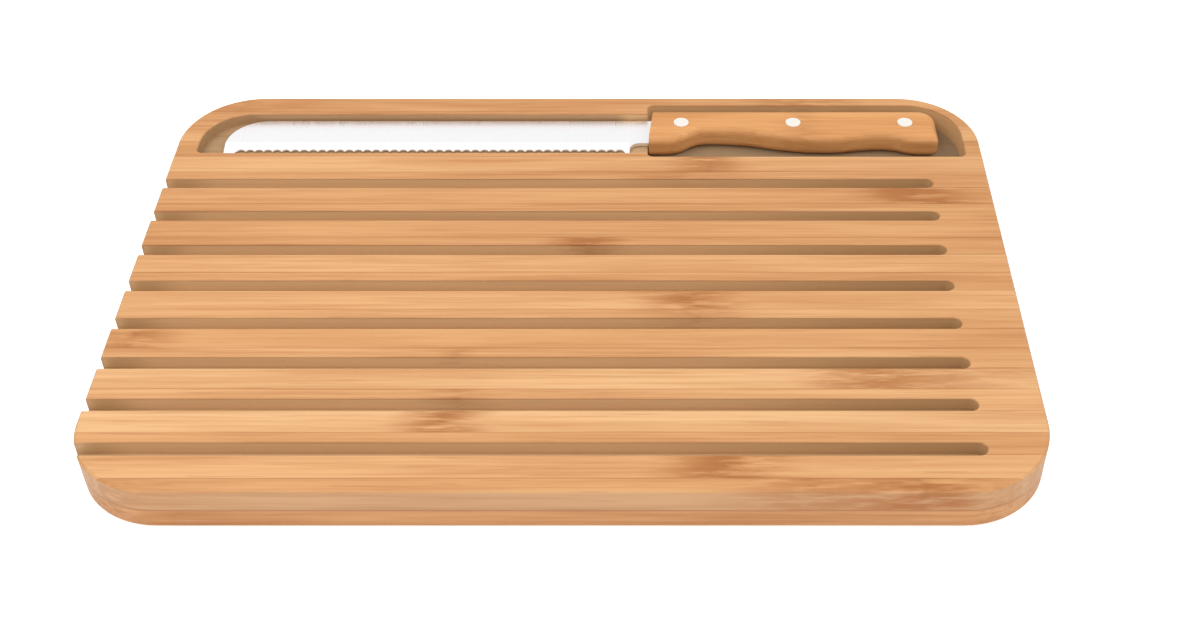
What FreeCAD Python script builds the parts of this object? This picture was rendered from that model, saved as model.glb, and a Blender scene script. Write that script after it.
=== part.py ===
# Bamboo bread board with a knife well, and the serrated bread knife that lies in it.
#
# Millimetres, +Z up. The origin is the middle of the underside of the board, the long side runs
# along X, and the knife well is at the back, towards +Y.
#
# The board is two plies of bamboo strips, glued edge to edge and face to face, and machined as one
# panel: eight crumb grooves that run out through the left side, and a stepped well with a shallow
# bed for the blade and a deeper recess for the handle. The panel is then divided into its strips.
# The knife has its own frame: X = 0 at the front of the handle, Y = 0 on the line of rivets, Z = 0
# in the middle of the blade's thickness. One placement lays it in the well.

import FreeCAD, Part
import math
import os
import Sketcher

from FreeCAD import Vector

doc = FreeCAD.newDocument("bread_board")


# Sizes: every expression further down uses these names

SIZES = {
    # Board
    "board_width": 250,
    "upper_ply": 11,
    "lower_ply": 9,
    "corner_radius": 35,
    "top_chamfer": 0.9,
    "bottom_chamfer": 1,
    "eased_edge": 0.4,

    # Crumb grooves: the land lies before the first one, the rim beyond their blind ends
    "front_land": 18.1,
    "groove_width": 6.6,
    "groove_depth": 6.5,
    "groove_count": 8,
    "groove_end_rim": 25.3,

    # Well: rims to the board's edges, and what is left of the upper ply under the handle
    "bed_left_rim": 9.8,
    "bed_corner": 22,
    "recess_right_rim": 7.5,
    "recess_back_rim": 6.2,
    "recess_corner": 24,
    "recess_floor": 0.8,
    "cutter_radius": 3,
    "well_strips": 4,

    # Gaps between the knife and the walls of the well
    "tip_gap": 10.6,
    "spine_gap": 1.3,
    "edge_gap": 6,
    "bed_clearance": 0.4,
    "front_gap": 0.5,
    "butt_gap": 10.7,
    "back_gap": 5.1,
    "belly_gap": 12.25,

    # Handle: widths below its straight back, places behind its front end or before its butt
    "handle_length": 133.4,
    "handle_thickness": 11.2,
    "handle_back": 10.8,
    "handle_round": 3.6,
    "front_slant": 1.1,
    "front_radius": 4,
    "lip_width": 23.2,
    "lip_end": 6.6,
    "waist_width": 15.3,
    "waist_at": 27.6,
    "swell_width": 22.1,
    "swell_at": 81,
    "rear_waist_width": 19.7,
    "rear_waist_before_butt": 25.8,
    "heel_before_butt": 8.4,
    "butt_radius": 8,
    "butt_heel_radius": 2,

    # Blade and tang
    "blade_length": 198,
    "blade_thickness": 1.8,
    "blade_width": 23.4,
    "spine_height": 7.6,
    "tip_radius": 18,
    "tip_flat": 5,
    "heel_flat": 2,
    "ricasso_width": 17.4,
    "choil_radius": 4.8,
    "choil_front": 5.1,
    "ricasso_seat": 3,
    "tang_before_butt": 6.4,
    "tang_width": 13.4,
    "neck_width": 9.9,
    "neck_start": 19,
    "neck_end": 52,
    "tang_clearance": 0.1,

    # Serrated edge, ground from one side
    "serration_relief": 1,
    "serration_pitch": 4.18,
    "serration_land": 0.18,
    "serration_depth": 1.2,
    "grind_width": 6.5,
    "edge_thickness": 0.5,

    # Rivets through the scales and the tang
    "front_rivet_at": 14.1,
    "rear_rivet_before_butt": 14.7,
    "rivet_width": 7,
    "rivet_proud": 0.2,
    "rivet_fit": 0.03,
}

sizes = doc.addObject("Spreadsheet::Sheet", "Sizes")
for row, (alias, value) in enumerate(SIZES.items(), 1):
    sizes.set("A%d" % row, str(value))
    sizes.setAlias("A%d" % row, alias)

doc.recompute()

# Places worked out from the sizes. The board is as long as the knife and its well need.

BOARD_LENGTH = "(Sizes.bed_left_rim + Sizes.tip_gap + Sizes.blade_length + Sizes.handle_length" \
    " + Sizes.butt_gap + Sizes.recess_right_rim)"
HALF_LENGTH = "(%s / 2)" % BOARD_LENGTH
HALF_WIDTH = "(Sizes.board_width / 2)"
BOARD_HEIGHT = "(Sizes.lower_ply + Sizes.upper_ply)"

RECESS_RIGHT = "(%s - Sizes.recess_right_rim)" % HALF_LENGTH
RECESS_BACK = "(%s - Sizes.recess_back_rim)" % HALF_WIDTH
RECESS_WIDTH = "(Sizes.back_gap + Sizes.lip_width + Sizes.belly_gap)"
RECESS_FRONT = "(%s - %s)" % (RECESS_BACK, RECESS_WIDTH)
RECESS_FLOOR = "(Sizes.lower_ply + Sizes.recess_floor)"

KNIFE_X = "(%s - Sizes.butt_gap - Sizes.handle_length)" % RECESS_RIGHT
KNIFE_Y = "(%s - Sizes.back_gap - Sizes.handle_back)" % RECESS_BACK
KNIFE_Z = "(%s + Sizes.rivet_proud + Sizes.handle_thickness / 2)" % RECESS_FLOOR
HALF_BLADE = "(Sizes.blade_thickness / 2)"
HALF_HANDLE = "(Sizes.handle_thickness / 2)"
EDGE = "(Sizes.spine_height - Sizes.blade_width)"
TEETH = "(%s + Sizes.serration_relief)" % EDGE
HEEL = "(-Sizes.choil_front - Sizes.choil_radius)"
LAST_TOOTH = "(%s - Sizes.heel_flat - Sizes.serration_relief / 2)" % HEEL
FIRST_TOOTH = "(-Sizes.blade_length + Sizes.tip_flat + Sizes.serration_relief / 2)"
TOOTH_COUNT = "floor((%s - %s) / Sizes.serration_pitch)" % (LAST_TOOTH, FIRST_TOOTH)
TANG_END = "(Sizes.handle_length - Sizes.tang_before_butt)"

RECESS_LEFT = "(%s - Sizes.front_slant - Sizes.front_gap)" % KNIFE_X
BED_LEFT = "(%s - Sizes.blade_length - Sizes.tip_gap)" % KNIFE_X
BED_BACK = "(%s + Sizes.spine_height + Sizes.spine_gap)" % KNIFE_Y
BED_FRONT = "(%s + %s - Sizes.edge_gap)" % (KNIFE_Y, EDGE)
BED_DEPTH = "(%s - %s + %s + Sizes.bed_clearance)" % (BOARD_HEIGHT, KNIFE_Z, HALF_BLADE)

# The grooves share the ground from the front land to the well evenly, with two strips to a groove.
# Every second joint of the upper ply falls on the front wall of a groove, so that no groove leaves
# a thin sliver of its strip standing, and the well starts on a joint too.
GROOVE_PITCH = "((Sizes.board_width - Sizes.front_land - %s - Sizes.recess_back_rim)" \
    " / Sizes.groove_count)" % RECESS_WIDTH
STRIP_WIDTH = "(%s / 2)" % GROOVE_PITCH
WELL_STRIP = "((%s + Sizes.recess_back_rim) / Sizes.well_strips)" % RECESS_WIDTH


def number(expression):
    """The present value of an expression on the sheet."""
    value = sizes.evalExpression(expression)
    return float(getattr(value, "Value", value))


def bind(thing, prop, expression):
    """Tie one property to the sheet."""
    thing.setExpression(prop, expression)


# Sketches and bodies

def new_body(name):
    body = doc.addObject("PartDesign::Body", name)
    body.Label = name
    return body


def origin_plane(body, role):
    return next(plane for plane in body.Origin.OriginFeatures if plane.Role == role)


def new_sketch(body, name, role="XY_Plane", offset="0"):
    """A sketch on one of the body's own origin planes, lifted by an expression."""
    sketch = body.newObject("Sketcher::SketchObject", name)
    sketch.AttachmentSupport = [(origin_plane(body, role), "")]
    sketch.MapMode = "FlatFace"
    bind(sketch, "AttachmentOffset.Base.z", offset)
    return sketch


def hold(sketch, kind, element, point, expression):
    """Hold one coordinate of a point of the sketch at an expression's value."""
    index = sketch.addConstraint(Sketcher.Constraint(kind, -1, 1, element, point, number(expression)))
    bind(sketch, "Constraints[%d]" % index, expression)


def draw_outline(sketch, corners):
    """Draw a closed outline of lines and arcs.

    Each corner is (x, y) or (x, y, bend): the stretch that leaves it is a line, or an arc whose
    centre stands level with one end. The bend is "down" or "up" for a centre straight below or
    above the corner, "left" or "right" for one beside it, "end down" or "end up" for a centre
    below or above the stretch's other end. All places are expressions on the sheet.
    """
    count = len(corners)
    for place, corner in enumerate(corners):
        following = corners[(place + 1) % count]
        start = Vector(number(corner[0]), number(corner[1]), 0)
        end = Vector(number(following[0]), number(following[1]), 0)
        if len(corner) == 2:
            element = sketch.addGeometry(Part.LineSegment(start, end))
            first, last = 1, 2
        else:
            element, first, last = draw_bend(sketch, start, end, corner[2])
            centred_on = following if corner[2].startswith("end") else corner
            if corner[2] in ("left", "right"):
                hold(sketch, "DistanceY", element, 3, centred_on[1])
            else:
                hold(sketch, "DistanceX", element, 3, centred_on[0])
            hold(sketch, "DistanceX", element, last, following[0])
            hold(sketch, "DistanceY", element, last, following[1])
        hold(sketch, "DistanceX", element, first, corner[0])
        hold(sketch, "DistanceY", element, first, corner[1])
        if len(corner) == 2:
            hold(sketch, "DistanceX", element, last, following[0])
            hold(sketch, "DistanceY", element, last, following[1])


def draw_bend(sketch, start, end, bend):
    """Add the shorter arc between two points; it is drawn anticlockwise, so they may change places."""
    pivot, other = (end, start) if bend.startswith("end") else (start, end)
    run = other - pivot
    span = run.x * run.x + run.y * run.y
    if bend in ("left", "right"):
        centre = pivot + Vector(span / (2 * run.x), 0, 0)
    else:
        centre = pivot + Vector(0, span / (2 * run.y), 0)
    swapped = (start - centre).cross(end - centre).z < 0
    first, last = (end, start) if swapped else (start, end)
    circle = Part.Circle(centre, Vector(0, 0, 1), (start - centre).Length)
    arc = Part.ArcOfCircle(circle, circle.parameter(first), turn_after(circle, first, last))
    element = sketch.addGeometry(arc)
    return (element, 2, 1) if swapped else (element, 1, 2)


def turn_after(circle, first, last):
    """The angle of the last point, counted on from the first one."""
    begin = circle.parameter(first)
    finish = circle.parameter(last)
    return finish if finish > begin else finish + 2 * math.pi


def pad(body, name, sketch, length, reversed_way=False):
    feature = body.newObject("PartDesign::Pad", name)
    feature.Profile = sketch
    bind(feature, "Length", length)
    feature.Reversed = reversed_way
    return feature


def pocket(body, name, sketch, depth, reversed_way=False, midplane=False):
    """A cut that must take something away: the volumes before and after are compared."""
    before = body.Shape.Volume
    feature = body.newObject("PartDesign::Pocket", name)
    feature.Profile = sketch
    bind(feature, "Length", depth)
    feature.Reversed = reversed_way
    feature.Midplane = midplane
    doc.recompute()
    if body.Shape.Volume >= before:
        raise RuntimeError(name + " cuts nothing")
    return feature


def edge_names(shape, wanted):
    return ["Edge%d" % (place + 1) for place, edge in enumerate(shape.Edges) if wanted(edge)]


def lies_at(height):
    """A test for edges that lie flat at one height."""
    return lambda edge: all(abs(vertex.Z - height) < 1e-6 for vertex in edge.Vertexes) \
        and abs(edge.BoundBox.ZMax - edge.BoundBox.ZMin) < 1e-6


def fillet(body, name, wanted, radius):
    doc.recompute()
    base = body.Tip
    feature = body.newObject("PartDesign::Fillet", name)
    feature.Base = (base, edge_names(base.Shape, wanted))
    bind(feature, "Radius", radius)
    doc.recompute()
    return feature


def chamfer(body, name, wanted, width):
    doc.recompute()
    base = body.Tip
    feature = body.newObject("PartDesign::Chamfer", name)
    feature.Base = (base, edge_names(base.Shape, wanted))
    bind(feature, "Size", width)
    doc.recompute()
    return feature


def pattern(body, name, feature, direction, spacing, count):
    """Repeat a cut in a row, away from or along one axis of its own sketch."""
    row = body.newObject("PartDesign::LinearPattern", name)
    row.Originals = [feature]
    row.Direction = (feature.Profile[0], [direction])
    bind(row, "Occurrences", count)
    bind(row, "Length", "%s * (%s - 1)" % (spacing, count))
    body.Tip = row
    doc.recompute()
    return row


# The machined panel

def rounded_rectangle(left, right, front, back, front_radius, back_left, back_right):
    """Corners of a rectangle with an arc at each corner, from the front left one."""
    return [
        ("%s + %s" % (left, front_radius), front),
        ("%s - %s" % (right, front_radius), front, "up"),
        (right, "%s + %s" % (front, front_radius)),
        (right, "%s - %s" % (back, back_right), "left"),
        ("%s - %s" % (right, back_right), back),
        ("%s + %s" % (left, back_left), back, "down"),
        (left, "%s - %s" % (back, back_left)),
        (left, "%s + %s" % (front, front_radius), "right"),
    ]


def make_panel():
    """Both plies in one piece, as they come off the router."""
    body = new_body("panel")
    outline = new_sketch(body, "panel_outline")
    corner = "Sizes.corner_radius"
    draw_outline(outline, rounded_rectangle(
        "-" + HALF_LENGTH, HALF_LENGTH, "-" + HALF_WIDTH, HALF_WIDTH, corner, corner, corner))
    pad(body, "panel_pad", outline, BOARD_HEIGHT)
    doc.recompute()
    top = lies_at(number(BOARD_HEIGHT))
    chamfer(body, "panel_top_chamfer", top, "Sizes.top_chamfer")
    chamfer(body, "panel_bottom_chamfer", lies_at(0), "Sizes.bottom_chamfer")
    cut_grooves(body)
    cut_bed(body)
    cut_recess(body)
    inside = number(HALF_LENGTH + " - Sizes.top_chamfer") - 1e-3
    chamfer(body, "panel_eased_edges",
            lambda edge: top(edge) and reaches_less(edge, inside), "Sizes.eased_edge")
    return body


def reaches_less(edge, limit):
    """True of an edge with at least a part nearer to the middle of the board than the limit."""
    box = edge.BoundBox
    cut = box.YLength < 1e-6 and box.XLength > number("Sizes.corner_radius")
    outer = number(HALF_WIDTH + " - Sizes.top_chamfer") - 1e-3
    return abs(box.YMin) < outer and abs(box.YMax) < outer and (cut or abs(box.XMax) < limit)


def cut_grooves(body):
    """Blind grooves with a round end on the right, open through the left side."""
    groove = new_sketch(body, "groove_outline", offset=BOARD_HEIGHT)
    front = "(Sizes.front_land - %s)" % HALF_WIDTH
    middle = "(%s + Sizes.groove_width / 2)" % front
    back = "(%s + Sizes.groove_width)" % front
    tip = "(%s - Sizes.groove_end_rim)" % HALF_LENGTH
    bend = "%s - Sizes.groove_width / 2" % tip
    outside = "-%s - Sizes.corner_radius" % HALF_LENGTH
    draw_outline(groove, [
        (outside, front), (bend, front, "up"), (tip, middle, "left"), (bend, back), (outside, back)])
    cut = pocket(body, "groove_cut", groove, "Sizes.groove_depth")
    pattern(body, "groove_row", cut, "V_Axis", GROOVE_PITCH, "Sizes.groove_count")


def cut_bed(body):
    """Shallow bed for the blade; it runs on into the handle recess on the right."""
    bed = new_sketch(body, "bed_outline", offset=BOARD_HEIGHT)
    right = "(%s + Sizes.recess_corner)" % RECESS_LEFT
    draw_outline(bed, [
        ("%s + Sizes.cutter_radius" % BED_LEFT, BED_FRONT),
        (right, BED_FRONT),
        (right, BED_BACK),
        ("%s + Sizes.bed_corner" % BED_LEFT, BED_BACK, "down"),
        (BED_LEFT, "%s - Sizes.bed_corner" % BED_BACK),
        (BED_LEFT, "%s + Sizes.cutter_radius" % BED_FRONT, "right"),
    ])
    pocket(body, "bed_cut", bed, BED_DEPTH)


def cut_recess(body):
    """Deep recess for the handle, with finger room round its butt and belly."""
    recess = new_sketch(body, "recess_outline", offset=BOARD_HEIGHT)
    draw_outline(recess, rounded_rectangle(
        RECESS_LEFT, RECESS_RIGHT, RECESS_FRONT, RECESS_BACK,
        "Sizes.cutter_radius", "Sizes.cutter_radius", "Sizes.recess_corner"))
    pocket(body, "recess_cut", recess, "Sizes.upper_ply - Sizes.recess_floor")


# Strips of the two plies

def upper_joints():
    """Distances of the upper ply's joints from the front edge of the board, with both edges."""
    wells = round(number("Sizes.well_strips"))
    ground = 2 * round(number("Sizes.groove_count"))
    joints = ["(Sizes.front_land + %d * %s)" % (place, STRIP_WIDTH) for place in range(-1, ground + 1)]
    joints += ["(Sizes.board_width - %d * %s)" % (place, WELL_STRIP)
               for place in range(wells - 1, 0, -1)]
    return ["0"] + joints + ["Sizes.board_width"]


def lower_joints():
    """The lower ply is staggered: its joints fall in the middle of the upper ply's strips."""
    above = upper_joints()[1:]
    middles = ["((%s + %s) / 2)" % pair for pair in zip(above, above[1:])]
    return ["0"] + middles + ["Sizes.board_width"]


def make_strips(panel, ply, joints, bottom, thickness):
    """Divide one ply of the panel into its strips, from the front edge to the back."""
    strips = []
    for place, (start, end) in enumerate(zip(joints, joints[1:])):
        name = "%s_strip_%02d" % (ply, place + 1)
        blank = doc.addObject("Part::Box", name + "_blank")
        bind(blank, "Length", BOARD_LENGTH)
        bind(blank, "Width", "%s - %s" % (end, start))
        bind(blank, "Height", thickness)
        bind(blank, "Placement.Base.x", "-" + HALF_LENGTH)
        bind(blank, "Placement.Base.y", "%s - %s" % (start, HALF_WIDTH))
        bind(blank, "Placement.Base.z", bottom)
        strip = doc.addObject("Part::Common", name)
        strip.Label = name
        strip.Base = panel
        strip.Tool = blank
        strips.append(strip)
    return strips


# Knife

def lay_in_well(thing):
    """Every piece of the knife has this one placement: its rivets rest on the recess floor."""
    bind(thing, "Placement.Base.x", KNIFE_X)
    bind(thing, "Placement.Base.y", KNIFE_Y)
    bind(thing, "Placement.Base.z", KNIFE_Z)


def rivet_places():
    """The outer rivets keep their distances from the ends, and the third is halfway between."""
    rear = "(Sizes.handle_length - Sizes.rear_rivet_before_butt)"
    return ["Sizes.front_rivet_at", "((Sizes.front_rivet_at + %s) / 2)" % rear, rear]


def tang_outline(gap="0"):
    """The part of the blade inside the handle, grown by a gap for the pocket that holds it."""
    top = "Sizes.spine_height + %s" % gap
    seat = "Sizes.spine_height - Sizes.ricasso_width - %s" % gap
    neck = "Sizes.spine_height - Sizes.neck_width - %s" % gap
    low = "Sizes.spine_height - Sizes.tang_width - %s" % gap
    return [
        ("Sizes.ricasso_seat + %s" % gap, seat),
        ("Sizes.ricasso_seat + %s" % gap, low),
        ("Sizes.neck_start + %s" % gap, low),
        ("Sizes.neck_start + %s" % gap, neck),
        ("Sizes.neck_end - %s" % gap, neck),
        ("Sizes.neck_end - %s" % gap, low),
        ("%s + %s" % (TANG_END, gap), low),
        ("%s + %s" % (TANG_END, gap), top),
    ], top, seat


def make_blade():
    """Blade, ricasso and hidden tang from one sheet of steel, ground and serrated on one side."""
    body = new_body("blade")
    outline = new_sketch(body, "blade_outline", offset="-" + HALF_BLADE)
    tip = "-Sizes.blade_length"
    choil = "(-Sizes.choil_front)"
    choil_top = "(Sizes.spine_height - Sizes.ricasso_width)"
    tang = tang_outline()[0]
    draw_outline(outline, [
        (tip, EDGE),
        ("%s + Sizes.tip_flat" % tip, EDGE),
        (FIRST_TOOTH, TEETH),
        (LAST_TOOTH, TEETH),
        ("%s - Sizes.heel_flat" % HEEL, EDGE),
        (HEEL, EDGE),
        (HEEL, "%s - Sizes.choil_radius" % choil_top, "right"),
        (choil, choil_top),
    ] + tang + [
        ("%s + Sizes.tip_radius" % tip, "Sizes.spine_height", "down"),
        (tip, "Sizes.spine_height - Sizes.tip_radius"),
    ])
    pad(body, "blade_pad", outline, "Sizes.blade_thickness")
    doc.recompute()
    grind_edge(body)
    cut_serrations(body)
    cut_tang_holes(body)
    lay_in_well(body)
    return body


def grind_edge(body):
    """One flat grind on the upper side, from full thickness down to the edge."""
    grind = new_sketch(body, "grind_profile", "YZ_Plane", HEEL)
    shoulder = "(%s + Sizes.grind_width)" % EDGE
    beyond = "(%s - Sizes.grind_width)" % EDGE
    low = "(2 * (Sizes.edge_thickness - Sizes.blade_thickness) + %s)" % HALF_BLADE
    high = "Sizes.blade_thickness"
    draw_outline(grind, [(shoulder, HALF_BLADE), (beyond, low), (beyond, high), (shoulder, high)])
    pocket(body, "grind", grind, "Sizes.blade_length")


def cut_serrations(body):
    """A row of scallops: each is a circle that meets the edge line on a chord."""
    scallop = new_sketch(body, "scallop")
    half_chord = "((Sizes.serration_pitch - Sizes.serration_land) / 2)"
    radius = "((%s ^ 2 + Sizes.serration_depth ^ 2) / (2 * Sizes.serration_depth))" % half_chord
    along = "%s - Sizes.serration_pitch / 2" % LAST_TOOTH
    across = "%s + Sizes.serration_depth - %s" % (TEETH, radius)
    sketch_circle(scallop, along, across, radius)
    cut = pocket(body, "scallop_cut", scallop, "2 * Sizes.blade_thickness", midplane=True)
    row = pattern(body, "scallop_row", cut, "H_Axis", "Sizes.serration_pitch", TOOTH_COUNT)
    row.Reversed = True
    doc.recompute()


def sketch_circle(sketch, x, y, radius):
    circle = sketch.addGeometry(
        Part.Circle(Vector(number(x), number(y), 0), Vector(0, 0, 1), number(radius)))
    hold(sketch, "DistanceX", circle, 3, x)
    hold(sketch, "DistanceY", circle, 3, y)
    index = sketch.addConstraint(Sketcher.Constraint("Radius", circle, number(radius)))
    bind(sketch, "Constraints[%d]" % index, radius)
    return circle


def cut_tang_holes(body):
    holes = new_sketch(body, "tang_holes")
    for place in rivet_places():
        sketch_circle(holes, place, "0", "Sizes.rivet_width / 2 + Sizes.rivet_fit")
    pocket(body, "tang_hole_cut", holes, "2 * Sizes.blade_thickness", midplane=True)


def handle_corners():
    """Outline of the handle: straight back, round butt, and a belly of four smooth waves."""
    back = "Sizes.handle_back"
    end = "Sizes.handle_length"
    lip = "(Sizes.handle_back - Sizes.lip_width)"
    waist = "(Sizes.handle_back - Sizes.waist_width)"
    swell = "(Sizes.handle_back - Sizes.swell_width)"
    rear_waist = "(Sizes.handle_back - Sizes.rear_waist_width)"
    crests = [
        ("(Sizes.handle_length - Sizes.heel_before_butt)", lip),
        ("(Sizes.handle_length - Sizes.rear_waist_before_butt)", rear_waist),
        ("Sizes.swell_at", swell),
        ("Sizes.waist_at", waist),
        ("Sizes.lip_end", lip),
    ]
    corners = [
        ("Sizes.front_slant", back),
        ("%s - Sizes.butt_radius" % end, back, "down"),
        (end, "%s - Sizes.butt_radius" % back),
        (end, "%s + Sizes.butt_heel_radius" % lip, "left"),
        ("%s - Sizes.butt_heel_radius" % end, lip),
    ]
    for (x, y), (next_x, next_y) in zip(crests, crests[1:]):
        rising = number(next_y) > number(y)
        between = ("(%s + %s) / 2" % (x, next_x), "(%s + %s) / 2" % (y, next_y))
        corners.append((x, y, "up" if rising else "down"))
        corners.append(between + ("end down" if rising else "end up",))
    corners.append(crests[-1])
    corners.append(("-Sizes.front_slant", lip))
    return corners


def make_scale(name, side):
    """One wooden half of the handle; side is +1 for the upper one and -1 for the lower one."""
    body = new_body(name)
    lower = side < 0
    outline = new_sketch(body, name + "_outline")
    draw_outline(outline, handle_corners())
    pad(body, name + "_pad", outline, HALF_HANDLE, reversed_way=lower)
    front = number("Sizes.front_slant")
    outer = lies_at(side * number(HALF_HANDLE))
    fillet(body, name + "_round",
           lambda edge: outer(edge) and edge.BoundBox.XMax > front + 1e-6, "Sizes.handle_round")
    round_front_corner(body, name)
    cut_tang_seat(body, name, lower)
    cut_rivet_holes(body, name, lower)
    lay_in_well(body)
    return body


def round_front_corner(body, name):
    """Take the corner off where the back meets the slanted front end."""
    waste = new_sketch(body, name + "_corner_waste")
    bend = "(Sizes.front_slant + Sizes.front_radius)"
    drop = "(Sizes.handle_back - Sizes.front_radius)"
    foot = "(Sizes.front_slant - 2 * Sizes.front_slant * Sizes.front_radius / Sizes.lip_width)"
    above = "(Sizes.handle_back + Sizes.front_radius)"
    draw_outline(waste, [
        (foot, drop, "end down"), (bend, "Sizes.handle_back"), (bend, above),
        ("-Sizes.front_radius", above), ("-Sizes.front_radius", drop)])
    pocket(body, name + "_corner_cut", waste, "2 * Sizes.handle_thickness", midplane=True)


def cut_tang_seat(body, name, lower):
    """Half of the blade's thickness is let into each scale, so the scales close round the tang."""
    seat = new_sketch(body, name + "_seat")
    tang, top, low = tang_outline("Sizes.tang_clearance")
    ahead = "-2 * Sizes.front_slant"
    draw_outline(seat, [(ahead, low)] + tang + [(ahead, top)])
    pocket(body, name + "_seat_cut", seat, HALF_BLADE, reversed_way=not lower)


def cut_rivet_holes(body, name, lower):
    """Through holes for the three rivets."""
    holes = new_sketch(body, name + "_rivet_holes")
    for place in rivet_places():
        sketch_circle(holes, place, "0", "Sizes.rivet_width / 2 + Sizes.rivet_fit")
    pocket(body, name + "_rivet_cut", holes, "Sizes.handle_thickness", reversed_way=not lower)


def make_rivet(name, along):
    """A plain pin through both scales and the tang, a little proud at each end."""
    rivet = doc.addObject("Part::Cylinder", name)
    bind(rivet, "Radius", "Sizes.rivet_width / 2")
    bind(rivet, "Height", "Sizes.handle_thickness + 2 * Sizes.rivet_proud")
    bind(rivet, "Placement.Base.x", along)
    bind(rivet, "Placement.Base.z", "-%s - Sizes.rivet_proud" % HALF_HANDLE)
    return rivet


def make_rivets():
    """The three rivets are alike, so they are one group of separate solids."""
    group = doc.addObject("Part::Compound", "handle_rivets")
    group.Label = "handle_rivets"
    names = ("front_rivet", "middle_rivet", "rear_rivet")
    group.Links = [make_rivet(name, along) for name, along in zip(names, rivet_places())]
    lay_in_well(group)
    return group


# Build, check and write

panel = make_panel()
parts = make_strips(panel, "lower", lower_joints(), "0", "Sizes.lower_ply")
parts += make_strips(panel, "upper", upper_joints(), "Sizes.lower_ply", "Sizes.upper_ply")
parts += [make_blade(), make_scale("upper_scale", 1), make_scale("lower_scale", -1), make_rivets()]
doc.recompute()

for thing in doc.Objects:
    if "Invalid" in thing.State or "Error" in thing.State:
        raise RuntimeError("%s failed: %s" % (thing.Label, thing.State))

os.makedirs("parts", exist_ok=True)
for part in parts:
    shape = part.Shape
    if shape.isNull() or not shape.isValid() or not shape.Solids:
        raise RuntimeError("%s has no sound solid" % part.Label)

for part in parts:
    part.Shape.exportStep("parts/%s.step" % part.Label)

print("%d sub-parts, %d solids" % (len(parts), sum(len(part.Shape.Solids) for part in parts)))
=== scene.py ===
# %% [markdown]
# # A bamboo bread board with its knife
#
# This lesson dresses a finished set of solids as bamboo, steel and pale studio light. The board is
# 370 mm long, it is glued up from narrow bamboo strips in two plies, and a serrated bread knife
# lies in a well along its back edge. The shapes come from the workshop drawing and stay as they
# are. What is left to make is what a camera sees on them: grain, the rings of the cane, polish and
# light.

import math
import random

import bpy
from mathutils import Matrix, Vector

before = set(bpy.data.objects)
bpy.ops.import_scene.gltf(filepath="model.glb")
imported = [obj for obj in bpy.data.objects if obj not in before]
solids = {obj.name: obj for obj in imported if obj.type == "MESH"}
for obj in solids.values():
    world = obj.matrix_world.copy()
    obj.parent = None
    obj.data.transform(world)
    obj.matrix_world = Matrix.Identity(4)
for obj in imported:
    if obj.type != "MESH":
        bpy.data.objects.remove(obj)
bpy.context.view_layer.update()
MM = 0.001

# %% [markdown]
# ## Small helpers for building finishes
#
# A finish in Blender is a tree of shader nodes. It could be wired by hand in the editor, but here
# every strip of bamboo needs its own copy with other settings, so the trees are built in code.
# Short helpers keep that readable. The first ones add a node, fill in its settings or link its
# sockets, and hand back what comes out of it.

# %% Helpers for single nodes


def add(tree, kind, inputs=None, **settings):
    """Add a shader node; inputs may be plain values or sockets of other nodes."""
    node = tree.nodes.new(kind)
    for name, value in settings.items():
        setattr(node, name, value)
    for name, value in (inputs or {}).items():
        socket = node.inputs[name]
        if isinstance(value, bpy.types.NodeSocket):
            tree.links.new(value, socket)
        else:
            socket.default_value = value
    return node


def calc(tree, operation, first, second=0.0, third=0.0, clamp=False):
    """One step of arithmetic on two or three numbers."""
    node = add(tree, "ShaderNodeMath", {0: first, 1: second, 2: third}, operation=operation)
    node.use_clamp = clamp
    return node.outputs[0]


def calc_vector(tree, operation, first, second=(0, 0, 0)):
    """One step of arithmetic on vectors."""
    node = add(tree, "ShaderNodeVectorMath", {0: first, 1: second}, operation=operation)
    return node.outputs["Value" if operation == "LENGTH" else "Vector"]


def split(tree, vector):
    """The X, Y and Z of a vector."""
    return add(tree, "ShaderNodeSeparateXYZ", {"Vector": vector}).outputs


wiring = (add, calc, calc_vector, split)
print("helpers for nodes:", ", ".join(made.__name__ for made in wiring))

# %% [markdown]
# The next ones do what a painter does: lay one colour over another, let a tone run out softly, and
# scatter grain. Noise is the natural choice for wood, because it doesn't repeat and its grain can
# have any size: stretched along one axis it turns into fibres.

# %% Helpers for colour and grain


def blend(tree, share, under, over, way="MIX"):
    """Mix two colours by a share, in one of Blender's blending ways."""
    inputs = {0: share, 6: under, 7: over}
    node = add(tree, "ShaderNodeMix", data_type="RGBA", blend_type=way, clamp_factor=True)
    for number, value in inputs.items():
        if isinstance(value, bpy.types.NodeSocket):
            tree.links.new(value, node.inputs[number])
        else:
            node.inputs[number].default_value = value
    return node.outputs[2]


def ramp(tree, value, low, high, low_out=0.0, high_out=1.0):
    """A smooth step: low gives low_out, high gives high_out."""
    node = add(tree, "ShaderNodeMapRange", {
        "Value": value, "From Min": low, "From Max": high,
        "To Min": low_out, "To Max": high_out}, interpolation_type="SMOOTHSTEP")
    return node.outputs[0]


def noise(tree, place, cells, detail, roughness, shift=None):
    """Noise whose grain is so many cells per metre along X, Y and Z."""
    where = add(tree, "ShaderNodeMapping", {"Vector": place, "Scale": cells}).outputs[0]
    if shift is not None:
        where = calc_vector(tree, "ADD", where, shift)
    made = add(tree, "ShaderNodeTexNoise", {
        "Vector": where, "Scale": 1.0, "Detail": detail, "Roughness": roughness})
    return made.outputs["Fac"]


def new_finish(name):
    """A material with an empty tree apart from its shader and output."""
    material = bpy.data.materials.new(name)
    material.use_nodes = True
    shader = material.node_tree.nodes["Principled BSDF"]
    return material, material.node_tree, shader


def dress(piece, material):
    """Give a piece one material, in place of whatever it came with."""
    piece.data.materials.clear()
    piece.data.materials.append(material)


painting = (blend, ramp, noise, new_finish, dress)
print("helpers for looks:", ", ".join(made.__name__ for made in painting))

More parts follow.
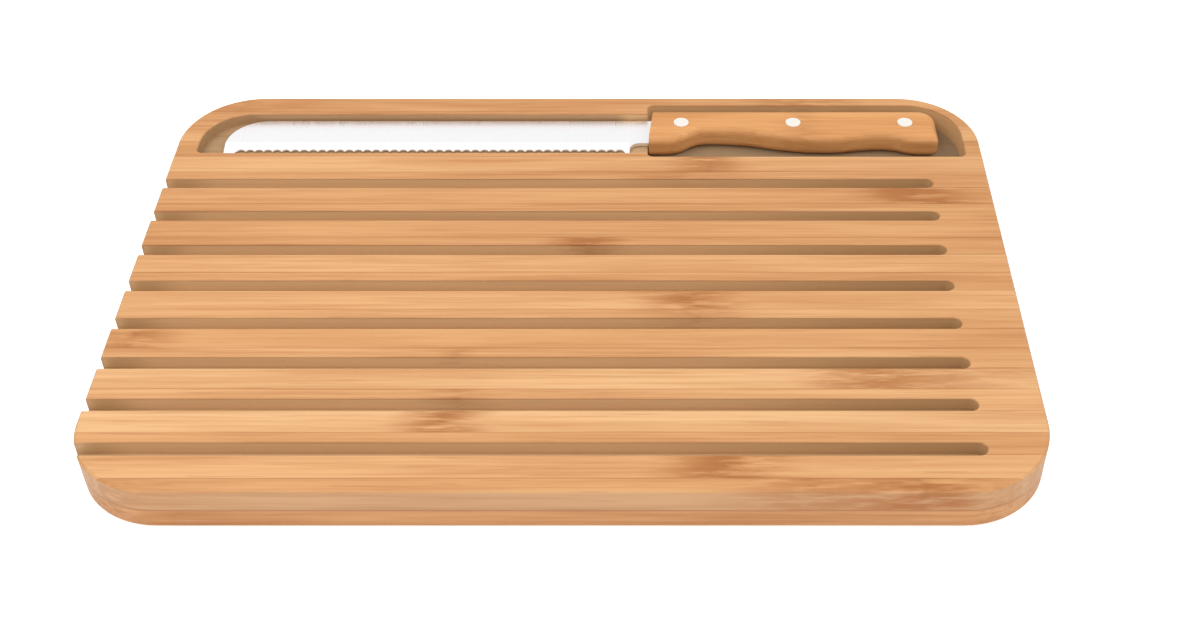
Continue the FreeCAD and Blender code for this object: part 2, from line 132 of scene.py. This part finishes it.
# %% [markdown]
# ## What bamboo looks like
#
# Bamboo strips are planed from the wall of the cane. Seen from the side they show fine, straight
# fibres along the strip, a slow drift between straw and amber, and a ring, or node, every 20 to 40
# cm, where the fibres knot into a short reddish smear. The tone jumps from one strip to the next.
#
# One image for the whole board would show none of that up close, so the look is built from layers
# of noise in the board's own millimetres. The layers go into one shared group, and each strip feeds
# it with its own two tones, a shift so that no two strips have the same fibres, the height below
# which it has been cut, the places of its joints, and up to three rings.

# %% The shared group and its sockets
RINGS = 3
bamboo = bpy.data.node_groups.new("bamboo", "ShaderNodeTree")


def new_socket(name, kind, way="INPUT"):
    """Give the bamboo group one more input or output."""
    bamboo.interface.new_socket(name, in_out=way, socket_type="NodeSocket" + kind)


new_socket("Pale", "Color")
new_socket("Deep", "Color")
new_socket("Shift", "Vector")
for name in ("Cut Level", "Front Joint", "Back Joint", "Well"):
    new_socket(name, "Float")
for ring in range(RINGS):
    for name in ("Ring", "Depth", "Reach"):
        new_socket("%s %d" % (name, ring), "Float")
new_socket("Color", "Color", "OUTPUT")
new_socket("Roughness", "Float", "OUTPUT")
new_socket("Height", "Float", "OUTPUT")

given = add(bamboo, "NodeGroupInput").outputs
result = add(bamboo, "NodeGroupOutput")
place = add(bamboo, "ShaderNodeTexCoord").outputs["Object"]
axes = split(bamboo, place)
print("sockets of the group:", len(bamboo.interface.items_tree))

# %% [markdown]
# ## Clear wood
#
# Four layers make the wood between two rings: a drift over centimetres, streaks, single fibres and
# a few dark flecks. Each is stretched along X, because the fibres run that way, so it has few cells
# per metre along X and many across. The first three are weighed together and choose a place between
# the strip's pale and deep tone. Two more layers are made along with them, because the rings need
# them further down.

# %% Clear wood
# Layer: (cells per metre along X, Y and Z), how many finer layers it has, how strong these are
GRAIN = {
    "drift": ((7, 90, 90), 1.0, 0.5),
    "streaks": ((12, 480, 480), 3.0, 0.62),
    "fibres": ((24, 1900, 1900), 3.0, 0.65),
    "flecks": ((35, 1000, 1000), 2.0, 0.5),
    "wander": ((3, 420, 420), 1.0, 0.5),
    "smears": ((45, 340, 340), 3.0, 0.62),
}
WEIGHTS = {"drift": 1.7, "streaks": 1.9, "fibres": 1.0}
MIDDLE_DEPTH = 0.4
FLECK = (0.27, 0.115, 0.040, 1)
FLECK_BAND, FLECK_SHARE = (0.60, 0.72), 0.28

grain = {name: noise(bamboo, place, *made, given["Shift"]) for name, made in GRAIN.items()}
depth = MIDDLE_DEPTH
for name, weight in WEIGHTS.items():
    swing = calc(bamboo, "SUBTRACT", grain[name], 0.5)
    depth = calc(bamboo, "MULTIPLY_ADD", swing, weight, depth)
colour = blend(bamboo, depth, given["Pale"], given["Deep"])
flecked = ramp(bamboo, grain["flecks"], *FLECK_BAND, 0.0, FLECK_SHARE)
colour = blend(bamboo, flecked, colour, FLECK)
print("clear wood:", len(bamboo.nodes), "nodes so far")

# %% [markdown]
# ## Which face is which
#
# Only the top is sanded and oiled. Where the cutter has been, the wood is duller, and lower down it
# also carries painted shade, and the outer edge is greyer. These faces could be picked one by one
# and given a second material, but their height and place in the board's own frame, and the way
# they face, tell them apart as well: a face below the top skin is a cut one, and one that lies 35
# mm outside the centres of the corners is the outer edge. These numbers belong to this board, and
# one of another size needs others.

# %% Masks for the faces
CORNER = 35 * MM
CORNER_CENTRE = (150 * MM, 90 * MM, 9.0)    # 9 m up, so that height doesn't count
RIM_START, RIM_END = 1.4 * MM, 0.4 * MM     # how far inside the outer edge the rim's tone sets in
SKIN = 0.5 * MM
UPWARD, ENDWARD = (0.5, 0.9), (0.2, 0.9)    # how much of a face's direction counts as that way

facing = split(bamboo, add(bamboo, "ShaderNodeNewGeometry").outputs["True Normal"])
upward = ramp(bamboo, facing["Z"], *UPWARD)
endward = ramp(bamboo, calc(bamboo, "ABSOLUTE", facing["X"]), *ENDWARD)
over_cut = calc(bamboo, "SUBTRACT", axes["Z"], given["Cut Level"])
cut = ramp(bamboo, over_cut, -SKIN, 0.0, 1.0, 0.0)
apart = calc_vector(bamboo, "ABSOLUTE", place)
apart = calc_vector(bamboo, "SUBTRACT", apart, CORNER_CENTRE)
apart = calc_vector(bamboo, "MAXIMUM", apart)
apart = calc_vector(bamboo, "LENGTH", apart)
rim = ramp(bamboo, apart, CORNER - RIM_START, CORNER - RIM_END)
in_pocket = calc(bamboo, "MULTIPLY", cut, calc(bamboo, "SUBTRACT", 1.0, rim))
in_groove = calc(bamboo, "SUBTRACT", 1.0, given["Well"])
print("masks:", len(bamboo.nodes), "nodes so far")

# %% [markdown]
# ## Grooves and well
#
# The walls of a groove are painted darker towards its floor, as painted shade. The deeper a floor
# lies, the darker it is painted as shade, and the ends of a groove get painted shade as well. The
# walls of the well differ between the blade's bed, painted in shade, and the handle's recess. All
# this could be painted by hand on an image, but soft steps along Z and X do it with a few numbers
# and stay sharp from close by.

# %% Tones of the cut faces and of their painted shade
CUT_FACE = (0.66, 0.450, 0.250, 1)
# painted shade: the tone that the low walls of the grooves darken to
LOW_WALL_SHADE = (0.42, 0.285, 0.155, 1)
# painted shade: the tone of the walls of the blade's bed
BED_WALL_SHADE = (0.25, 0.165, 0.090, 1)
CUT_RECESS = (0.58, 0.380, 0.190, 1)
# painted shade: the tone of the deep floors
FLOOR_SHADE_TONE = (0.23, 0.150, 0.083, 1)
# painted shade: the tone of the blind ends of the grooves
GROOVE_END_SHADE = (0.25, 0.125, 0.035, 1)
CUT_SHARE, END_SHADE_SHARE, WELL_FLOOR_SHADE_SHARE = 0.6, 0.45, 0.35
LOW_WALL = (9.5 * MM, 15.5 * MM)            # heights between which a groove's wall turns darker with painted shade
FLOOR_LEVELS = (10 * MM, 13.4 * MM)         # the deeper a floor lies, the more painted shade it gets
# how much painted shade the deepest and the highest floors get
DEEP_FLOOR_SHADE, HIGH_FLOOR_SHADE = 0.85, 0.15
BED_TO_RECESS = (16 * MM, 24 * MM)          # places along X from here on
# where the painted shade at the right and the left ends of the grooves sets in
END_SHADE_RIGHT = (30 * MM, 158 * MM)
END_SHADE_LEFT = (-182 * MM, -160 * MM)

# painted shade: a groove's wall turns darker towards its floor
groove_wall = blend(bamboo, ramp(bamboo, axes["Z"], *LOW_WALL, 1.0, 0.0), CUT_FACE, LOW_WALL_SHADE)
# the walls of the blade's bed carry painted shade, and those of the handle's recess their own tone
well_wall = blend(bamboo, ramp(bamboo, axes["X"], *BED_TO_RECESS), BED_WALL_SHADE, CUT_RECESS)
wall = blend(bamboo, given["Well"], groove_wall, well_wall)
pocket = blend(bamboo, CUT_SHARE, colour, wall)
# painted shade: a floor turns darker the deeper it lies, and more so in the well
painted_floor_shade = ramp(bamboo, axes["Z"], *FLOOR_LEVELS, DEEP_FLOOR_SHADE, HIGH_FLOOR_SHADE)
painted_floor_shade = calc(bamboo, "MULTIPLY_ADD", given["Well"], WELL_FLOOR_SHADE_SHARE, painted_floor_shade, clamp=True)
pocket = blend(bamboo, calc(bamboo, "MULTIPLY", upward, painted_floor_shade), pocket, FLOOR_SHADE_TONE)
# painted shade towards both ends of each groove, and only a little in the well
end_shade_mask = ramp(bamboo, axes["X"], *END_SHADE_RIGHT, 0.0, END_SHADE_SHARE)
left_end_shade_mask = ramp(bamboo, axes["X"], *END_SHADE_LEFT, END_SHADE_SHARE, 0.0)
end_shade_mask = calc(bamboo, "MULTIPLY", calc(bamboo, "ADD", end_shade_mask, left_end_shade_mask), in_groove)
pocket = blend(bamboo, end_shade_mask, pocket, GROOVE_END_SHADE)
print("grooves and well:", len(bamboo.nodes), "nodes so far")

# %% [markdown]
# ## The outer edge
#
# Around the outside the wood is paler and greyer, end grain drinks more oil and is darker, and a
# thin line of glue shows between the plies. The line could be a strip of its own, but it has no
# thickness to speak of, so a dark band at the foot of the upper ply is enough.

# %% Tones of the outer edge
CUT_RIM = (0.28, 0.210, 0.140, 1)
END_GRAIN = (0.30, 0.138, 0.044, 1)
RING_BROWN = (0.24, 0.095, 0.030, 1)
RIM_SHARE, PLY_LINE_SHARE, END_SHARE = 0.3, 0.7, 0.6
PLY_LINE = (9.2 * MM, 10.2 * MM)            # just above the glue between the plies

edge = blend(bamboo, RIM_SHARE, colour, CUT_RIM)
edge = blend(bamboo, ramp(bamboo, axes["Z"], *PLY_LINE, PLY_LINE_SHARE, 0.0), edge, RING_BROWN)
colour = blend(bamboo, cut, colour, blend(bamboo, rim, pocket, edge))
end_grain = calc(bamboo, "MULTIPLY", calc(bamboo, "MULTIPLY", rim, endward), END_SHARE)
colour = blend(bamboo, end_grain, colour, END_GRAIN)
print("outer edge:", len(bamboo.nodes), "nodes so far")

# %% [markdown]
# ## Rings
#
# At a ring the fibres knot. What shows is a thin brown line, which wanders along the strip from one
# fibre to the next, and a reddish stain around it that breaks up into streaks. On the walls of the
# grooves both are faint, because the cutter leaves them dull. Real rings are sanded flush, so
# they are drawn in colour and not modelled. Only the line lies a hair lower than the wood, so it
# also goes into the height that the bump reads.

# %% Rings across a strip
RING_RED = (0.295, 0.108, 0.028, 1)
# Mark: from where to where it runs out, how strong it is, which part of the noise breaks it up
STAIN = ((0.0, 1.0), 0.95, (0.28, 0.60))
LINE = ((0.2 * MM, 3.0 * MM), 0.30, (0.34, 0.55))
RING_WANDER = 8 * MM
LINE_DENT = 0.5
FADED = 0.65

wander = calc(bamboo, "MULTIPLY_ADD", grain["wander"], 2 * RING_WANDER, -RING_WANDER)
showing = calc(bamboo, "MULTIPLY_ADD", in_pocket, -FADED, 1.0)


def mark(distance, strength, ends, share, streaky):
    """How much of a mark is left at some distance from the ring."""
    left = ramp(bamboo, distance, *ends, share, 0.0)
    left = calc(bamboo, "MULTIPLY", left, ramp(bamboo, grain["smears"], *streaky))
    left = calc(bamboo, "MULTIPLY", left, strength, clamp=True)
    return calc(bamboo, "MULTIPLY", left, showing)


height = grain["fibres"]
for ring in range(RINGS):
    strength = given["Depth %d" % ring]
    away = calc(bamboo, "SUBTRACT", axes["X"], given["Ring %d" % ring])
    away = calc(bamboo, "ABSOLUTE", calc(bamboo, "ADD", away, wander))
    stain = mark(calc(bamboo, "DIVIDE", away, given["Reach %d" % ring]), strength, *STAIN)
    line = mark(away, strength, *LINE)
    colour = blend(bamboo, stain, colour, RING_RED)
    colour = blend(bamboo, line, colour, RING_BROWN)
    height = calc(bamboo, "MULTIPLY_ADD", line, -LINE_DENT, height)
print("rings:", len(bamboo.nodes), "nodes so far")

# %% [markdown]
# ## Glued joints
#
# Two strips meet in a hair-thin dark line on the top. A cut along each joint would catch too much
# shadow, because the real one is sanded flush, so the line is drawn just inside each strip's own
# edges, which every strip tells the group. It comes and goes with the drift of the wood. Last, the
# streaks also decide how matt the wood is.

# %% Glue lines and polish
GLUE_LINE = (0.05 * MM, 0.45 * MM)          # how far inside a strip's edge the line runs out
GLUE_SHARE, GLUE_LEAST = 0.5, 0.3
POLISH = (0.44, 0.60)
NOISE_BAND = (0.3, 0.7)                     # where most values of a noise lie

inside = calc(bamboo, "MINIMUM", calc(bamboo, "SUBTRACT", axes["Y"], given["Front Joint"]),
              calc(bamboo, "SUBTRACT", given["Back Joint"], axes["Y"]))
glue = calc(bamboo, "MULTIPLY", ramp(bamboo, inside, *GLUE_LINE, GLUE_SHARE, 0.0), upward)
patchy = ramp(bamboo, grain["drift"], *NOISE_BAND, GLUE_LEAST, 1.0)
glue = calc(bamboo, "MULTIPLY", glue, patchy)
colour = blend(bamboo, glue, colour, given["Deep"], "MULTIPLY")

rough = ramp(bamboo, grain["streaks"], *NOISE_BAND, *POLISH)
bamboo.links.new(colour, result.inputs["Color"])
bamboo.links.new(rough, result.inputs["Roughness"])
bamboo.links.new(height, result.inputs["Height"])
print("bamboo group:", len(bamboo.nodes), "nodes")

# %% [markdown]
# ## Strip by strip
#
# The tones are named as a board maker would sort the strips at the bench, from straw to toast.
# Each strip then gets a material of its own around the shared group, which costs little and leaves
# its tone, its fibres and its rings free to be set one by one.

# %% Tones and the finish of one strip
TONES = {
    "straw": ((0.550, 0.320, 0.150, 1), (0.430, 0.212, 0.084, 1)),
    "honey": ((0.520, 0.283, 0.123, 1), (0.400, 0.184, 0.068, 1)),
    "amber": ((0.480, 0.246, 0.100, 1), (0.360, 0.156, 0.053, 1)),
    "toast": ((0.455, 0.226, 0.089, 1), (0.335, 0.140, 0.046, 1)),
    "oiled": ((0.520, 0.252, 0.090, 1), (0.392, 0.158, 0.047, 1)),
}
NO_RING = (9000, 0.0, 30)                   # in mm, far outside the board and without strength
NO_CUT, NO_JOINTS = -1.0, (-1.0, 1.0)       # in metres, and out of the board's reach as well
BUMP = {"Strength": 0.12, "Distance": 0.2 * MM}
SHEEN = 0.25


def strip_finish(name, tone, shift, rings, cut_level=NO_CUT, joints=NO_JOINTS, well=0.0):
    """The material of one strip: its tones, its own fibres, its rings and its edges."""
    material, tree, shader = new_finish(name)
    group = add(tree, "ShaderNodeGroup", node_tree=bamboo)
    pale, deep = TONES[tone]
    settings = {"Pale": pale, "Deep": deep, "Shift": shift, "Cut Level": cut_level,
                "Front Joint": joints[0], "Back Joint": joints[1], "Well": well}
    for ring in range(RINGS):
        where, depth, reach = rings[ring] if ring < len(rings) else NO_RING
        settings["Ring %d" % ring] = where * MM
        settings["Depth %d" % ring] = depth
        settings["Reach %d" % ring] = reach * MM
    for socket, value in settings.items():
        group.inputs[socket].default_value = value
    bump = add(tree, "ShaderNodeBump", {"Height": group.outputs["Height"], **BUMP})
    tree.links.new(group.outputs["Color"], shader.inputs["Base Color"])
    tree.links.new(group.outputs["Roughness"], shader.inputs["Roughness"])
    tree.links.new(bump.outputs["Normal"], shader.inputs["Normal"])
    shader.inputs["Specular IOR Level"].default_value = SHEEN
    return material


print("tones:", ", ".join(TONES))

# %% [markdown]
# The upper ply is written out strip by strip from the front edge to the back, because the eye reads
# the board by its tones and by its strongest rings. The lower ply only shows as a band on the edge
# and from below, so its order is drawn at random, from a fixed seed, apart from the front strips.

# %% Plan of the upper ply
UPPER_TONES = (
    "amber honey amber straw honey straw honey amber honey honey amber "
    "honey amber amber amber amber amber honey amber honey amber amber").split()
# Strip number: (place along the board in mm, how strong it is, how far its stain reaches in mm)
UPPER_RINGS = {
    1: [(92, 0.7, 50), (134, 1.15, 46), (-160, 0.4, 60)],
    2: [(62, 1.1, 36)],
    4: [(-46, 1.0, 24)],
    5: [(-40, 0.7, 20)],
    6: [(121, 0.9, 40), (150, 0.5, 60)],
    7: [(-45, 0.5, 10)],
    8: [(-174, 0.9, 26)],
    9: [(50, 0.6, 40)],
    10: [(50, 1.0, 32)],
    13: [(7, 1.3, 22)],
    16: [(152, 1.4, 34)],
    17: [(48, 0.5, 40)],
    18: [(58, 0.9, 26)],
    21: [(108, 0.6, 60)],
    22: [(104, 0.7, 60), (-160, 0.5, 60)],
}
print("upper ply:", " ".join(UPPER_TONES))

# %% Dress both plies
GROOVED = 18                                # strips with grooves; the last four have the well
TOAST_FRONT = 3                             # strips of the lower ply that show at the front
TOP_SKIN = 19.4 * MM                        # what lies below this height has been cut
WELL = 0.9                                  # how far the tones of the well replace the grooves'

draw = random.Random(7)
for number, upper_tone in enumerate(UPPER_TONES, 1):
    for ply in ("upper", "lower"):
        node = "%s_strip_%02d" % (ply, number)
        shift = (draw.uniform(0, 90), draw.uniform(0, 90), draw.uniform(0, 90))
        lower_ring = (draw.uniform(-170, 170), draw.uniform(0.3, 0.7), 25)
        lower_tone = draw.choice(("straw", "honey", "amber", "toast"))
        if ply == "upper":
            tone, rings, level = upper_tone, UPPER_RINGS.get(number, []), TOP_SKIN
        else:
            tone = "toast" if number <= TOAST_FRONT else lower_tone
            rings, level = [lower_ring], NO_CUT
        across = [vertex.co.y for vertex in solids[node].data.vertices]
        joints = (min(across), max(across))
        well = WELL if number > GROOVED else 0.0
        dress(solids[node], strip_finish("bamboo_" + node, tone, shift, rings, level, joints, well))
print("strips dressed:", 2 * len(UPPER_TONES), "upper strips with rings:", len(UPPER_RINGS))

# %% [markdown]
# ## The handle
#
# Both scales of the handle are cut from the same bamboo panel as the board, so they share its
# group. Oil has made them a little more orange than the board, and one faint ring crosses them.

# %% Handle scales
HANDLE_RING = (104, 0.3, 18)
HANDLE_SHIFTS = {"upper_scale": (31.0, 4.6, 12.0), "lower_scale": (5.0, 61.0, 40.0)}

for side, shift in HANDLE_SHIFTS.items():
    dress(solids[side], strip_finish("bamboo_" + side, "oiled", shift, [HANDLE_RING]))
print("scales dressed:", ", ".join(HANDLE_SHIFTS))

# %% [markdown]
# ## Blade and rivets
#
# The blade is satin stainless steel. Grinding leaves hair lines that run from the spine to the
# edge. Blender can stretch reflections along such lines, but that needs directions on the mesh, so
# here the roughness varies in thin bands instead, which looks the same from this far. The rivets
# are a shade warmer and smoother than the blade, and their grain is the same in all directions.

# %% Steel
METALLIC = 0.9
# Grain of the steel: cells per metre along X, Y and Z
HAIR_LINES = (3000, 40, 40)
EVEN_GRAIN = (900, 900, 900)
CLOUDS = (40, 60, 60)
HAIR_BAND = (0.25, 0.75)
SMOOTHER, ROUGHER, CLOUD_SHARE = 0.75, 1.3, 0.05
STEEL_BUMP = {"Strength": 0.03, "Distance": 0.05 * MM}


def steel_finish(name, colour, roughness, cells):
    """Steel whose roughness and height vary along its grain."""
    material, tree, shader = new_finish(name)
    place = add(tree, "ShaderNodeTexCoord").outputs["Object"]
    lines = noise(tree, place, cells, 2.0, 0.6)
    clouds = noise(tree, place, CLOUDS, 2.0, 0.5)
    rough = ramp(tree, lines, *HAIR_BAND, roughness * SMOOTHER, roughness * ROUGHER)
    rough = calc(tree, "MULTIPLY_ADD", clouds, CLOUD_SHARE, rough)
    bump = add(tree, "ShaderNodeBump", {"Height": lines, **STEEL_BUMP})
    shader.inputs["Base Color"].default_value = colour
    shader.inputs["Metallic"].default_value = METALLIC
    tree.links.new(rough, shader.inputs["Roughness"])
    tree.links.new(bump.outputs["Normal"], shader.inputs["Normal"])
    return material


satin = steel_finish("satin_blade", (0.90, 0.90, 0.91, 1), 0.32, HAIR_LINES)
polished = steel_finish("polished_rivets", (0.94, 0.89, 0.82, 1), 0.30, EVEN_GRAIN)
dress(solids["blade"], satin)
dress(solids["handle_rivets"], polished)
print("steel:", satin.name, "and", polished.name)

# %% [markdown]
# ## Floor
#
# The board stands on a white sheet. Stronger lamps could keep it white in the board's own shadow,
# but they would bleach the wood, so the sheet glows a little instead. It lies a hair below the
# board, so that the two faces don't fight for the same pixels. It belongs to the stage and not to
# the object.

# %% Floor
FLOOR_HALF = 4.0
FLOOR_GAP = 0.05 * MM
FLOOR_WHITE, FLOOR_ROUGHNESS, FLOOR_GLOW = (0.95, 0.95, 0.95, 1), 0.9, 0.3


def make_floor():
    """One large square face for the stage."""
    mesh = bpy.data.meshes.new("floor")
    corners = [(x * FLOOR_HALF, y * FLOOR_HALF, 0) for x, y in ((-1, -1), (1, -1), (1, 1), (-1, 1))]
    mesh.from_pydata(corners, [], [(0, 1, 2, 3)])
    piece = bpy.data.objects.new("floor", mesh)
    bpy.context.scene.collection.objects.link(piece)
    material, tree, shader = new_finish("pale_sheet")
    shader.inputs["Base Color"].default_value = FLOOR_WHITE
    shader.inputs["Roughness"].default_value = FLOOR_ROUGHNESS
    shader.inputs["Emission Color"].default_value = (1, 1, 1, 1)
    shader.inputs["Emission Strength"].default_value = FLOOR_GLOW
    dress(piece, material)
    return piece


floor = make_floor()
floor.location.z = -FLOOR_GAP
print("floor:", 2 * FLOOR_HALF, "m wide")

# %% [markdown]
# ## Light
#
# A soft lamp on the right lights the end of the handle and leaves the blind ends of the grooves
# dark, which the painted shade in the wood deepens. A near one on the left lifts that side of the
# board, and a broad one in front opens up the walls that face the viewer. A sun would do for a
# quick picture, but its shadows are too hard for a studio, so all three are wide lamps. The rest
# comes from a white room that is a little darker towards the horizon, which gives the upright faces
# and the steel some shape.

# %% Lamps
# Lamp: place in metres, width and height in metres, power in watts, colour
LAMPS = {
    "key_lamp": ((1.3, 0.1, 1.05), (0.7, 0.7), 11, (1, 1, 1)),
    "fill_lamp": ((-0.40, 0.0, 0.7), (0.5, 0.5), 2.4, (1, 1, 1)),
    "front_lamp": ((-0.2, -1.2, 1.3), (1.2, 0.8), 13, (0.97, 0.99, 1.0)),
}


def soft_lamp(name, place, size, power, colour):
    """A rectangular lamp that looks at the middle of the board."""
    lamp = bpy.data.lights.new(name, "AREA")
    lamp.shape = "RECTANGLE"
    lamp.size, lamp.size_y = size
    lamp.energy = power
    lamp.color = colour
    holder = bpy.data.objects.new(name, lamp)
    bpy.context.scene.collection.objects.link(holder)
    holder.location = place
    holder.rotation_euler = (-Vector(place)).to_track_quat("-Z", "Y").to_euler()


for name, settings in LAMPS.items():
    soft_lamp(name, *settings)
print("lamps:", ", ".join(LAMPS))

# %% The white room
HORIZON, OVERHEAD = 0.52, 0.98
RISE = (0.15, 0.55)                         # sines of the heights between which it turns bright

world = bpy.data.worlds.new("white_room")
world.use_nodes = True
room = world.node_tree
background = room.nodes["Background"]
background.inputs["Color"].default_value = (1, 1, 1, 1)
upwards = split(room, add(room, "ShaderNodeTexCoord").outputs["Generated"])["Z"]
glow = ramp(room, upwards, *RISE, HORIZON, OVERHEAD)
room.links.new(glow, background.inputs["Strength"])
bpy.context.scene.world = world
bpy.context.scene.view_settings.view_transform = "Standard"
print("room:", HORIZON, "at the horizon,", OVERHEAD, "overhead")

# %% [markdown]
# ## Camera
#
# The camera stands in front of the board, a little to the right of its middle, and looks down at
# 42 degrees. It could be placed by eye, but its place, lens and shift were worked out from the
# straight grooves and the round corners, which comes much closer. The board sits to the left of
# the frame, because its middle isn't the middle of the view.

# %% Camera
CAMERA_PLACE = (34.75 * MM, -518.19 * MM, 464.89 * MM)
LOOK_DOWN = 42.333
LENS, SENSOR, SHIFT = 48.61, 36.0, -0.0449

camera_data = bpy.data.cameras.new("camera")
camera_data.lens = LENS
camera_data.sensor_width = SENSOR
camera_data.shift_x = SHIFT
camera = bpy.data.objects.new("camera", camera_data)
bpy.context.scene.collection.objects.link(camera)
camera.location = CAMERA_PLACE
camera.rotation_euler = (math.radians(90 - LOOK_DOWN), 0, 0)
bpy.context.scene.camera = camera
print("camera:", LENS, "mm lens, looking down", LOOK_DOWN, "degrees")
